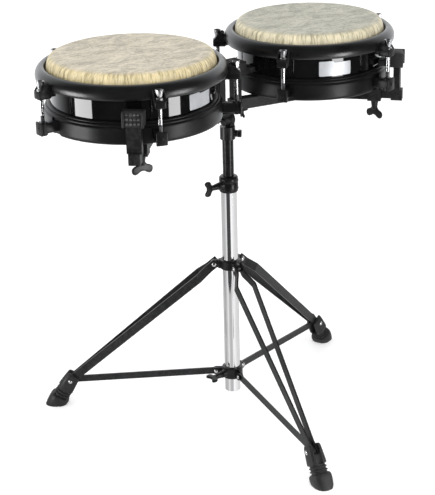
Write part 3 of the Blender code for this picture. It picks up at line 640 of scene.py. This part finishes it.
def label(name, radius, centre, body):
    """A blank, slightly curved plate on the shell, with a raised tab on its upper edge."""
    wide, high = (0.061, 0.0275) if name == "right" else (0.058, 0.0275)
    middle_turn = radians(-108 if name == "right" else -69.5)
    face = radius - SHELL_INSET
    reach = wide / face / 2
    bm = bmesh.new()
    columns = 40
    rows = 6
    grid = []
    for i in range(columns + 1):
        share = i / columns
        turn = middle_turn - reach + 2 * reach * share
        step = 0.0028 if share < 0.42 else 0.0 if share > 0.47 else 0.0028 * (0.47 - share) / 0.05
        low, high_z = LABEL_Z - high / 2, LABEL_Z + high / 2 - 0.0028 + step
        corner = 0.0012
        inset = corner if i in (0, columns) else 0.0
        column = []
        for j in range(rows + 1):
            z = low + inset + (high_z - low - 2 * inset) * j / rows
            column.append((turn, z))
        grid.append(column)
    layers = []
    for gap in (0.0002, 0.0007):
        out = face + gap
        layers.append([[bm.verts.new((out * cos(a), out * sin(a), z)) for a, z in column] for column in grid])
    under, over = layers
    for i in range(columns):
        for j in range(rows):
            bm.faces.new((over[i][j], over[i + 1][j], over[i + 1][j + 1], over[i][j + 1]))
            bm.faces.new((under[i][j], under[i][j + 1], under[i + 1][j + 1], under[i + 1][j]))
        for j in (0, rows):
            bm.faces.new((over[i][j], under[i][j], under[i + 1][j], over[i + 1][j]))
    for i in (0, columns):
        for j in range(rows):
            bm.faces.new((over[i][j], over[i][j + 1], under[i][j + 1], under[i][j]))
    piece(f"blank_label_{name}", bm, LABEL, body, (), centre)


# ---------------------------------------------------------------- screws, pads and boots


def wing_shape(bm, size, shank, matrix, spread=0.70):
    """A cast wing screw: the shank points up, the two wings hang below a turned hub."""
    half = [(4.0, 0.5), (4.6, -6.0), (5.4, -12.0), (9.4, -17.4), (14.8, -19.4), (18.8, -22.2), (20.0, -26.8)]
    half += [(18.4, -31.6), (14.2, -33.8), (9.0, -32.2), (4.4, -29.4)]
    half = [(x * spread, y) for x, y in half]
    outline = half + [(0.0, -28.6)] + [(-x, y) for x, y in reversed(half)]
    curve = [(x * MM * size, y * MM * size) for x, y in spline(outline, 4)]
    thick = 0.0052 * size ** 0.5
    add_plate(bm, curve, thick, min(0.0016, thick * 0.36), 4, matrix @ about("X", pi / 2))
    hub = [(0.0, 0.0), (6.0, 0.0), (6.8, -0.8), (6.9, -4.0)]
    hub += [(6.2, -7.5), (5.6, -13.0), (4.6, -18.0), (0.0, -20.5)]
    add_lathe(bm, [(r * MM * size, z * MM * size) for r, z in hub], 36, False, matrix)
    thread = [(0.0, shank), (0.0022, shank), (0.0028, shank - 0.0006), (0.0028, -0.001), (0.0, -0.001)]
    add_lathe(bm, thread, 20, False, matrix)


def screw(node, size, shank, origin, direction, turn=0.0, spread=0.70):
    """Replace a CAD wing screw. Its shank points along the direction."""
    frame_turn = Vector(direction).to_track_quat("Z", "Y").to_matrix().to_4x4()
    bm = bmesh.new()
    wing_shape(bm, size, shank, frame_turn @ about("Z", turn), spread)
    piece(f"{node}_cast", bm, CAST, node, [node], origin)


def pad(node, body, drum_name, at, turn):
    """A rubber block over the upright's top: side flanges, a dimpled face and a nose under the rim."""
    bm = bmesh.new()
    here = about("Z", turn)
    add_block(bm, (0.0215, 0.0300, 0.0268), (-0.0022, 0, 0.6865), 0.0022, 3, here)
    for side in (-1, 1):
        add_block(bm, (0.0250, 0.0042, 0.0272), (-0.0006, side * 0.0163, 0.6865), 0.0014, 3, here)
    add_block(bm, (0.0180, 0.0270, 0.0120), (-0.0160, 0, 0.6792), 0.0022, 3, here)
    studs = bmesh.new()
    for row in range(3):
        for column in range(4):
            dot = [(0.0, 0.0016), (0.0012, 0.0014), (0.0021, 0.0007), (0.0024, -0.0004), (0.0, -0.0004)]
            y, z = (column - 1.5) * 0.0066, 0.6870 + (row - 1) * 0.0078
            add_lathe(studs, dot, 16, False, here @ move(0.0087, y, z) @ about("Y", pi / 2))
    # The studs' light material is a painted highlight standing in for their glints.
    piece(f"{node}_studs", studs, STUD_PAINTED_HIGHLIGHT, body, (), at)
    nose_end = Vector((at[0], at[1])) - middle(f"shell_{drum_name}").xy
    reach = nose_end.length - shell_radius(drum_name) - 0.0010
    add_block(bm, (reach - 0.020, 0.0250, 0.0110), (-0.020 - (reach - 0.020) / 2, 0, 0.6790), 0.0018, 3, here)
    piece(f"{node}_rubber", bm, RUBBER, body, [node], at)


def boot(letter):
    """A moulded rubber foot: forked square-shouldered top, two ribs and a wide flat-cut tip."""
    turn = radians(LEG_AZIMUTH[letter])
    out = Vector((cos(turn), sin(turn), 0))
    start = above_pole(out, *FOOT_PIVOT)
    contact = above_pole(out, BOOT_CONTACT, 0)
    down = (contact - start).normalized()
    across = Vector((0, 0, 1)).cross(out)
    away = across.cross(down).normalized()
    rows = [
        (-13.0, 8.6, 4.2), (-12.7, 11.0, 4.2), (-11.4, 12.7, 4.2), (-8.0, 13.6, 4.0), (0.0, 14.5, 3.8),
        (8.0, 15.2, 3.6), (18.0, 16.0, 3.4), (23.4, 16.3, 3.2), (24.6, 15.6, 3.0), (25.2, 13.4, 2.8),
        (28.0, 13.4, 2.6), (28.6, 15.2, 2.6), (29.8, 15.8, 2.6), (31.0, 15.3, 2.6), (31.6, 13.5, 2.6),
        (34.2, 13.5, 2.5), (34.8, 15.5, 2.5), (36.0, 16.2, 2.5), (37.2, 15.6, 2.5), (37.8, 13.9, 2.5),
        (40.4, 14.0, 2.5), (41.2, 16.6, 2.6), (43.0, 18.6, 2.7), (46.0, 19.4, 2.7), (52.0, 19.6, 2.7),
        (58.0, 19.3, 2.6), (66.0, 18.6, 2.4), (76.0, 17.6, 2.3),
    ]
    bm = bmesh.new()
    rings = []
    steps = 72
    for depth, size, power in rows:
        ring = []
        for k in range(steps):
            a = 2 * pi * k / steps
            c, s = cos(a), sin(a)
            reach = size * MM / (abs(c) ** power + abs(s) ** power) ** (1 / power)
            point = start + down * depth * MM + (across * c + away * s) * reach
            if point.z < 0.0:
                point -= down * (point.z / down.z)
            if 0.0 <= point.z < 0.0012 and depth > 42:
                point -= (across * c + away * s) * (0.0012 - point.z) * 0.5
            ring.append(bm.verts.new(point))
        rings.append(ring)
    for upper, lower in zip(rings, rings[1:]):
        for k in range(steps):
            m = (k + 1) % steps
            bm.faces.new((upper[k], lower[k], lower[m], upper[m]))
    bm.faces.new(rings[0])
    bm.faces.new(list(reversed(rings[-1])))
    bmesh.ops.remove_doubles(bm, verts=bm.verts, dist=0.000005)
    obj = piece(f"boot_{letter}_ribbed", bm, RUBBER, f"leg_{letter}", [f"boot_{letter}"])
    tool = bmesh.new()
    basis = Matrix((away, across, -down)).transposed().to_4x4()
    add_block(tool, (0.0600, 0.0126, 0.0460), (0, 0, -0.0025), 0.0, 1, Matrix.Translation(start) @ basis)
    cut_with(obj, tool)


def rivet(name, at, axis, body, radius, lift, length):
    """A bright domed rivet through a joint, seen at both ends."""
    frame_turn = Vector(axis).to_track_quat("Z", "Y").to_matrix().to_4x4()
    bm = bmesh.new()
    for side in (1, -1):
        flip = about("X", 0 if side > 0 else pi)
        dome = [(0.0, lift), (0.35 * radius, lift * 0.96), (0.7 * radius, lift * 0.72)]
        dome += [(0.93 * radius, lift * 0.35), (radius, 0.0), (radius, -0.0003), (0.0, -0.0003)]
        add_lathe(bm, dome, 28, False, frame_turn @ flip @ move(0, 0, length / 2))
    piece(name, bm, STEEL, body, (), at)


# ---------------------------------------------------------------- stand


def tubes():
    lo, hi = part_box("base_tube")
    outer, inner = (hi.x - lo.x) / 2, (hi.x - lo.x) / 2 - 0.0014
    line = [(inner, hi.z), (outer - 0.0004, hi.z), (outer, hi.z - 0.0004)]
    line += [(outer, hi.z - (hi.z - lo.z) * k / 6) for k in range(1, 6)]
    line += [(outer, lo.z + 0.0004), (outer - 0.0004, lo.z), (inner, lo.z)]
    bm = bmesh.new()
    add_lathe(bm, line, 96)
    piece("base_tube_plated", bm, CHROME, "stand", ["base_tube"], (*POLE, 0))
    lo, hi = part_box("upper_tube")
    outer, inner = (hi.x - lo.x) / 2, (hi.x - lo.x) / 2 - 0.0012
    line = [(inner, hi.z), (outer, hi.z), (outer, (lo.z + hi.z) / 2), (outer, lo.z), (inner, lo.z)]
    bm = bmesh.new()
    add_lathe(bm, line, 80)
    piece("upper_tube_painted", bm, TUBE_BLACK, "mast", ["upper_tube"], (*POLE, 0))


def rounded_capsule(length, width, steps=14):
    radius = width / 2
    turns = [pi / 2 + pi * k / steps for k in range(steps + 1)]
    near = [(radius * cos(a), radius * sin(a)) for a in turns]
    return near + [(length - x, -y) for x, y in near]


def collars():
    """The height clamp, the fixed leg collar and the sliding brace collar, with their ears."""
    bm = bmesh.new()
    body = [
        (0.0109, 0.4815), (0.0148, 0.4815), (0.0162, 0.4808), (0.0176, 0.4790), (0.0181, 0.4760),
        (0.0181, 0.4715), (0.0175, 0.4705), (0.0175, 0.4698), (0.0181, 0.4688), (0.0181, 0.4560),
        (0.0176, 0.4524), (0.0166, 0.4510), (0.0153, 0.4510), (0.0153, 0.4784), (0.0109, 0.4784),
    ]
    add_lathe(bm, body, 80)
    boss = [(0.0034, 0.0266), (0.0060, 0.0266), (0.0069, 0.0258)]
    boss += [(0.0071, 0.0200), (0.0084, 0.0168), (0.0034, 0.0168)]
    at = about("Z", SIDE_SCREW_TURN) @ move(0, 0, HEIGHT_SCREW_Z)
    add_lathe(bm, boss, 36, True, at @ about("Y", pi / 2))
    for height in (0.4585, 0.4735):
        knob = [(0.0, 0.0008), (0.0016, 0.0006), (0.0022, 0.0), (0.0022, -0.002), (0.0, -0.002)]
        at = about("Z", radians(-48)) @ move(0.0181, 0, height)
        add_lathe(bm, knob, 18, False, at @ about("Y", pi / 2))
    piece("height_clamp_cast", bm, CAST, "stand", ["height_clamp"], (*POLE, 0))

    bm = bmesh.new()
    ring = [(0.0153, 0.3130), (0.0185, 0.3130), (0.0196, 0.3119)]
    ring += [(0.0196, 0.2961), (0.0185, 0.2950), (0.0153, 0.2950)]
    add_lathe(bm, ring, 80)
    for azimuth in LEG_AZIMUTH.values():
        at = about("Z", radians(azimuth)) @ move(0.0185, 0, LEG_PIVOT[1]) @ about("X", pi / 2)
        add_plate(bm, rounded_capsule(0.0125, 0.0152), 0.0098, 0.0016, 3, at)
        root = (0.0200, 0, LEG_PIVOT[1])
        add_block(bm, (0.006, 0.0150, 0.0170), root, 0.0020, 3, about("Z", radians(azimuth)))
    piece("leg_collar_cast", bm, CAST, "stand", ["leg_collar"], (*POLE, 0))

    bm = bmesh.new()
    ring = [(0.0153, 0.0870), (0.0188, 0.0870), (0.0201, 0.0857)]
    ring += [(0.0201, 0.0663), (0.0188, 0.0650), (0.0153, 0.0650)]
    add_lathe(bm, ring, 80)
    for azimuth in LEG_AZIMUTH.values():
        for side in (-1, 1):
            at = about("Z", radians(azimuth)) @ move(0.0185, side * 0.0034, BRACE_PIVOT[1])
            add_plate(bm, rounded_capsule(0.0135, 0.0142), 0.0029, 0.0008, 3, at @ about("X", pi / 2))
    boss = [(0.0034, 0.0286), (0.0060, 0.0286), (0.0069, 0.0278)]
    boss += [(0.0071, 0.0220), (0.0084, 0.0188), (0.0034, 0.0188)]
    at = about("Z", SIDE_SCREW_TURN) @ move(0, 0, BRACE_SCREW_Z)
    add_lathe(bm, boss, 36, True, at @ about("Y", pi / 2))
    piece("brace_collar_cast", bm, CAST, "brace_collar", ["brace_collar"], (*POLE, 0))


def tripod():
    for letter, azimuth in LEG_AZIMUTH.items():
        turn = radians(azimuth)
        out = Vector((cos(turn), sin(turn), 0))
        across = Vector((-sin(turn), cos(turn), 0))
        leg = f"leg_{letter}"
        keep(f"leg_{letter}", LEG, 0.0007, 2)
        keep(f"brace_{letter}", LEG, 0.0006, 2)
        boot(letter)
        for name, pivot, body, radius, lift, length in (
            ("leg", LEG_PIVOT, leg, 0.0046, 0.0018, 0.0172),
            ("foot", FOOT_PIVOT, leg, 0.0042, 0.0016, 0.0290),
            ("brace", BRACE_PIVOT, "brace_collar", 0.0040, 0.0014, 0.0098),
        ):
            rivet(f"{name}_rivet_{letter}", above_pole(out, *pivot), across, body, radius, lift, length)


def hardware():
    pole = Vector((*POLE, 0))
    for name, side in SIDES.items():
        keep(f"arm_{name}", POWDER, 0.0012, 3)
        keep(f"sliding_bar_{name}", POWDER, 0.0009, 3)
        along = Vector((side * cos(BAR_TURN), -sin(BAR_TURN), 0))
        corner = pole + Vector((side * CORNER_OUT * cos(ARM_TURN), -CORNER_OUT * sin(ARM_TURN), 0))
        pivot = pole + Vector((side * SWIVEL_OUT * cos(ARM_TURN), -SWIVEL_OUT * sin(ARM_TURN), 0))
        bar_turn = atan2(along.y, along.x)
        under_clamp = corner + along * CLAMP_ALONG + Vector((0, 0, 0.6054))
        screw(f"bar_screw_{name}", 1.0, 0.0044, under_clamp, (0, 0, 1), BAR_SCREW_TURN[name], 1.0)
        screw(f"swivel_screw_{name}", 0.42, 0.011, pivot + Vector((0, 0, 0.6036)), (0, 0, 1), pi / 2)
        centre = middle(f"shell_{name}").xy
        radius = shell_radius(name) + SHELL_INSET
        offset = corner.xy - centre
        half = offset.dot(along.xy)
        reach = (half * half - offset.dot(offset) + (radius + 0.032) ** 2) ** 0.5 - half
        upright = corner + along * reach
        pad(f"outer_pad_{name}", f"bar_{name}", name, (upright.x, upright.y, 0), bar_turn)
        inner = (pole.x + side * 0.018, pole.y - 0.0025, 0)
        pad(f"inner_pad_{name}", f"arm_{name}", name, inner, pi if side > 0 else 0.0)
    keep("hub_plate", POWDER, 0.0006, 2)
    keep("tilter_base", CAST, 0.0007, 2)
    out = Vector((cos(SIDE_SCREW_TURN), sin(SIDE_SCREW_TURN), 0))
    for node, start, height, shank, roll, spread in (
        ("height_screw", 0.0268, HEIGHT_SCREW_Z, 0.009, pi / 2, 0.82),
        ("brace_screw", 0.0288, BRACE_SCREW_Z, 0.010, radians(10), 0.70),
    ):
        screw(node, 0.90, shank, above_pole(out, start, height), -out, roll, spread)
    bm = bmesh.new()
    add_block(bm, (0.0074, 0.0120, 0.0120), (0.0225, 0, 0), 0.0012, 3)
    shank = [(0.0, 0.0190), (0.0030, 0.0190), (0.0030, 0.0112), (0.0, 0.0112)]
    add_lathe(bm, shank, 20, False, about("Y", pi / 2))
    at = pole + Vector((0, 0, 0.5640))
    node = "sleeve_screw"
    piece(f"{node}_square", bm, CAST, node, [node], at, SLEEVE_SCREW_TURN)
    bm = bmesh.new()
    wing_shape(bm, 0.38, 0.0235, about("Y", pi / 2))
    nut = bmesh.new()
    bmesh.ops.create_cone(nut, cap_ends=True, segments=6, radius1=0.0055, radius2=0.0055, depth=0.0032)
    bmesh.ops.bevel(nut, geom=nut.edges[:], offset=0.0005, segments=2, profile=0.5, affect="EDGES")
    bmesh.ops.transform(nut, matrix=move(0.0224, 0, 0) @ about("Y", pi / 2), verts=nut.verts)
    absorb(bm, nut)
    at = pole + Vector((-0.0105, 0, 0.5915))
    piece("tilt_screw_cast", bm, CAST, "tilt_screw", ["tilt_screw"], at)


# ---------------------------------------------------------------- room, light and camera


def room():
    """A pale floor that curves up into a wall far behind."""
    line = [(0.0, 0.0), (1.0, 0.0), (3.0, 0.0), (6.0, 0.0)]
    line += [(6.0 + 3.0 * sin(radians(a)), 3.0 - 3.0 * cos(radians(a))) for a in range(10, 91, 10)]
    line += [(9.0, 6.0)]
    bm = bmesh.new()
    add_lathe(bm, line, 96, False)
    bmesh.ops.recalc_face_normals(bm, faces=bm.faces)
    mesh = bpy.data.meshes.new("floor")
    bm.to_mesh(mesh)
    bm.free()
    mesh.shade_smooth()
    n = Nodes("pale_floor")
    cloud = n.noise(n.place((1, 1, 1)), 1.5, 3.0)
    pale = n.ramp(cloud.outputs["Fac"], [(0.3, (0.86, 0.86, 0.86)), (0.7, (0.88, 0.88, 0.88))])
    n.link(pale, n.shader.inputs["Base Color"])
    n.shader.inputs["Roughness"].default_value = 0.9
    n.shader.inputs["Specular IOR Level"].default_value = 0.0
    n.shader.inputs["Emission Color"].default_value = (1.0, 1.0, 1.0, 1.0)
    far = n.add("ShaderNodeVectorMath", links={0: n.coords.outputs["Object"]}, operation="LENGTH")
    glow = n.fit(far.outputs["Value"], FLOOR_GLOW[0], FLOOR_GLOW[1], 0.5, 5.0)
    n.link(glow, n.shader.inputs["Emission Strength"])
    mesh.materials.append(n.material)
    floor = bpy.data.objects.new("floor", mesh)
    bpy.context.scene.collection.objects.link(floor)
    floor.visible_glossy = False


def area(name, at, target, size, radiance, glossy=True, diffuse=True):
    data = bpy.data.lights.new(name, "AREA")
    data.shape = "RECTANGLE"
    data.size, data.size_y = size
    data.energy = pi * size[0] * size[1] * radiance
    light = bpy.data.objects.new(name, data)
    bpy.context.scene.collection.objects.link(light)
    light.location = at
    light.rotation_euler = (Vector(target) - Vector(at)).to_track_quat("-Z", "Y").to_euler()
    light.visible_camera = False
    light.visible_glossy = glossy
    light.visible_diffuse = diffuse


def floor_reflection():
    """A bright sheet round the stand that only reflections see, open towards the front."""
    bm = bmesh.new()
    inner, outer, notch = 0.66, 1.32, radians(26)
    steps = 120
    hub = bm.verts.new((0, 0, 0))
    rings = []
    for radius in (inner, outer):
        ring = []
        for k in range(steps):
            turn = notch + (2 * pi - 2 * notch) * k / (steps - 1)
            ring.append(bm.verts.new((radius * cos(turn), radius * sin(turn), 0)))
        rings.append(ring)
    near, wide = rings
    for k in range(steps - 1):
        bm.faces.new((near[k], wide[k], wide[k + 1], near[k + 1]))
        bm.faces.new((hub, near[k], near[k + 1]))
    bm.faces.new((hub, near[-1], near[0]))
    mesh = bpy.data.meshes.new("floor_reflection")
    bm.to_mesh(mesh)
    bm.free()
    n = Nodes("bright_sheet")
    spot = {"Vector": n.coords.outputs["Object"]}
    turn = n.add("ShaderNodeTexGradient", links=spot, gradient_type="RADIAL")
    levels = [(0.0, 0.75), (0.10, 0.66), (0.30, 0.56), (0.36, 0.68), (0.41, 1.0), (0.47, 0.60), (0.55, 0.58)]
    levels += [(0.60, 1.25), (0.66, 1.08), (0.76, 0.86), (1.0, 0.75)]
    bands = n.ramp(turn.outputs["Fac"], [(at, (v, v, v)) for at, v in levels])
    n.shader.inputs["Base Color"].default_value = (0.0, 0.0, 0.0, 1.0)
    n.shader.inputs["Specular IOR Level"].default_value = 0.0
    n.link(bands, n.shader.inputs["Emission Color"])
    n.shader.inputs["Emission Strength"].default_value = 1.0
    mesh.materials.append(n.material)
    sheet = bpy.data.objects.new("floor_reflection", mesh)
    bpy.context.scene.collection.objects.link(sheet)
    sheet.location = (*POLE, -0.004)
    sheet.rotation_euler = (0, 0, radians(222))
    for kind in ("camera", "diffuse", "transmission", "volume_scatter", "shadow"):
        setattr(sheet, f"visible_{kind}", False)


def lighting():
    world = bpy.data.worlds.new("studio")
    bpy.context.scene.world = world
    world.use_nodes = True
    tree = world.node_tree
    background = tree.nodes["Background"]
    coords = tree.nodes.new("ShaderNodeTexCoord")
    dot = tree.nodes.new("ShaderNodeVectorMath")
    dot.operation = "DOT_PRODUCT"
    dot.inputs[1].default_value = VIEW_DIRECTION
    ramp = tree.nodes.new("ShaderNodeMapRange")
    ramp.inputs["From Min"].default_value = 0.10
    ramp.inputs["From Max"].default_value = 0.70
    ramp.inputs["To Min"].default_value = 0.07
    ramp.inputs["To Max"].default_value = 1.6
    tree.links.new(coords.outputs["Generated"], dot.inputs[0])
    tree.links.new(dot.outputs["Value"], ramp.inputs["Value"])
    tree.links.new(ramp.outputs["Result"], background.inputs["Strength"])
    background.inputs["Color"].default_value = (0.97, 0.985, 1.0, 1.0)

    left = middle("shell_left")
    area("overhead", (-0.6, -0.5, 2.9), (0, 0, 0.5), (3.2, 2.6), 1.72, glossy=False)
    area("front_fill", (-1.9, -2.6, 1.7), (0, 0, 0.5), (2.4, 1.8), 2.1, glossy=False)
    cards = (("left_card", 169.2, -0.377, 0.58), ("right_card", 293.2, -0.367, 0.36))
    for name, azimuth, drop, width in cards:
        towards = Vector((cos(radians(azimuth)), sin(radians(azimuth)), 0))
        at = left + towards * 1.2 + Vector((0, 0, drop))
        area(name, at, left + Vector((0, 0, -0.2)), (width, 0.45), CARD_RADIANCE, diffuse=False)


def camera():
    """The photograph's viewpoint."""
    yaw, pitch, roll = radians(90 - 55.2), radians(21.81), radians(-1.38)
    forward = Vector((sin(yaw) * cos(pitch), cos(yaw) * cos(pitch), -sin(pitch)))
    right = Vector((cos(yaw), -sin(yaw), 0))
    up = right.cross(forward)
    tilted_right = cos(roll) * right + sin(roll) * up
    tilted_up = -sin(roll) * right + cos(roll) * up
    data = bpy.data.cameras.new("camera")
    data.lens = 111.4
    data.sensor_width = 36
    data.clip_end = 60
    cam = bpy.data.objects.new("camera", data)
    bpy.context.scene.collection.objects.link(cam)
    turn = Matrix((tilted_right, tilted_up, -forward)).transposed().to_4x4()
    cam.matrix_world = Matrix.Translation(Vector((*POLE, 0)) + Vector((-1.5664, -2.2121, 1.4213))) @ turn
    bpy.context.scene.camera = cam


camera()
lighting()
room()
floor_reflection()
for drum_name in SIDES:
    drum(drum_name)
tubes()
collars()
tripod()
hardware()
bpy.context.scene.view_settings.view_transform = "Standard"
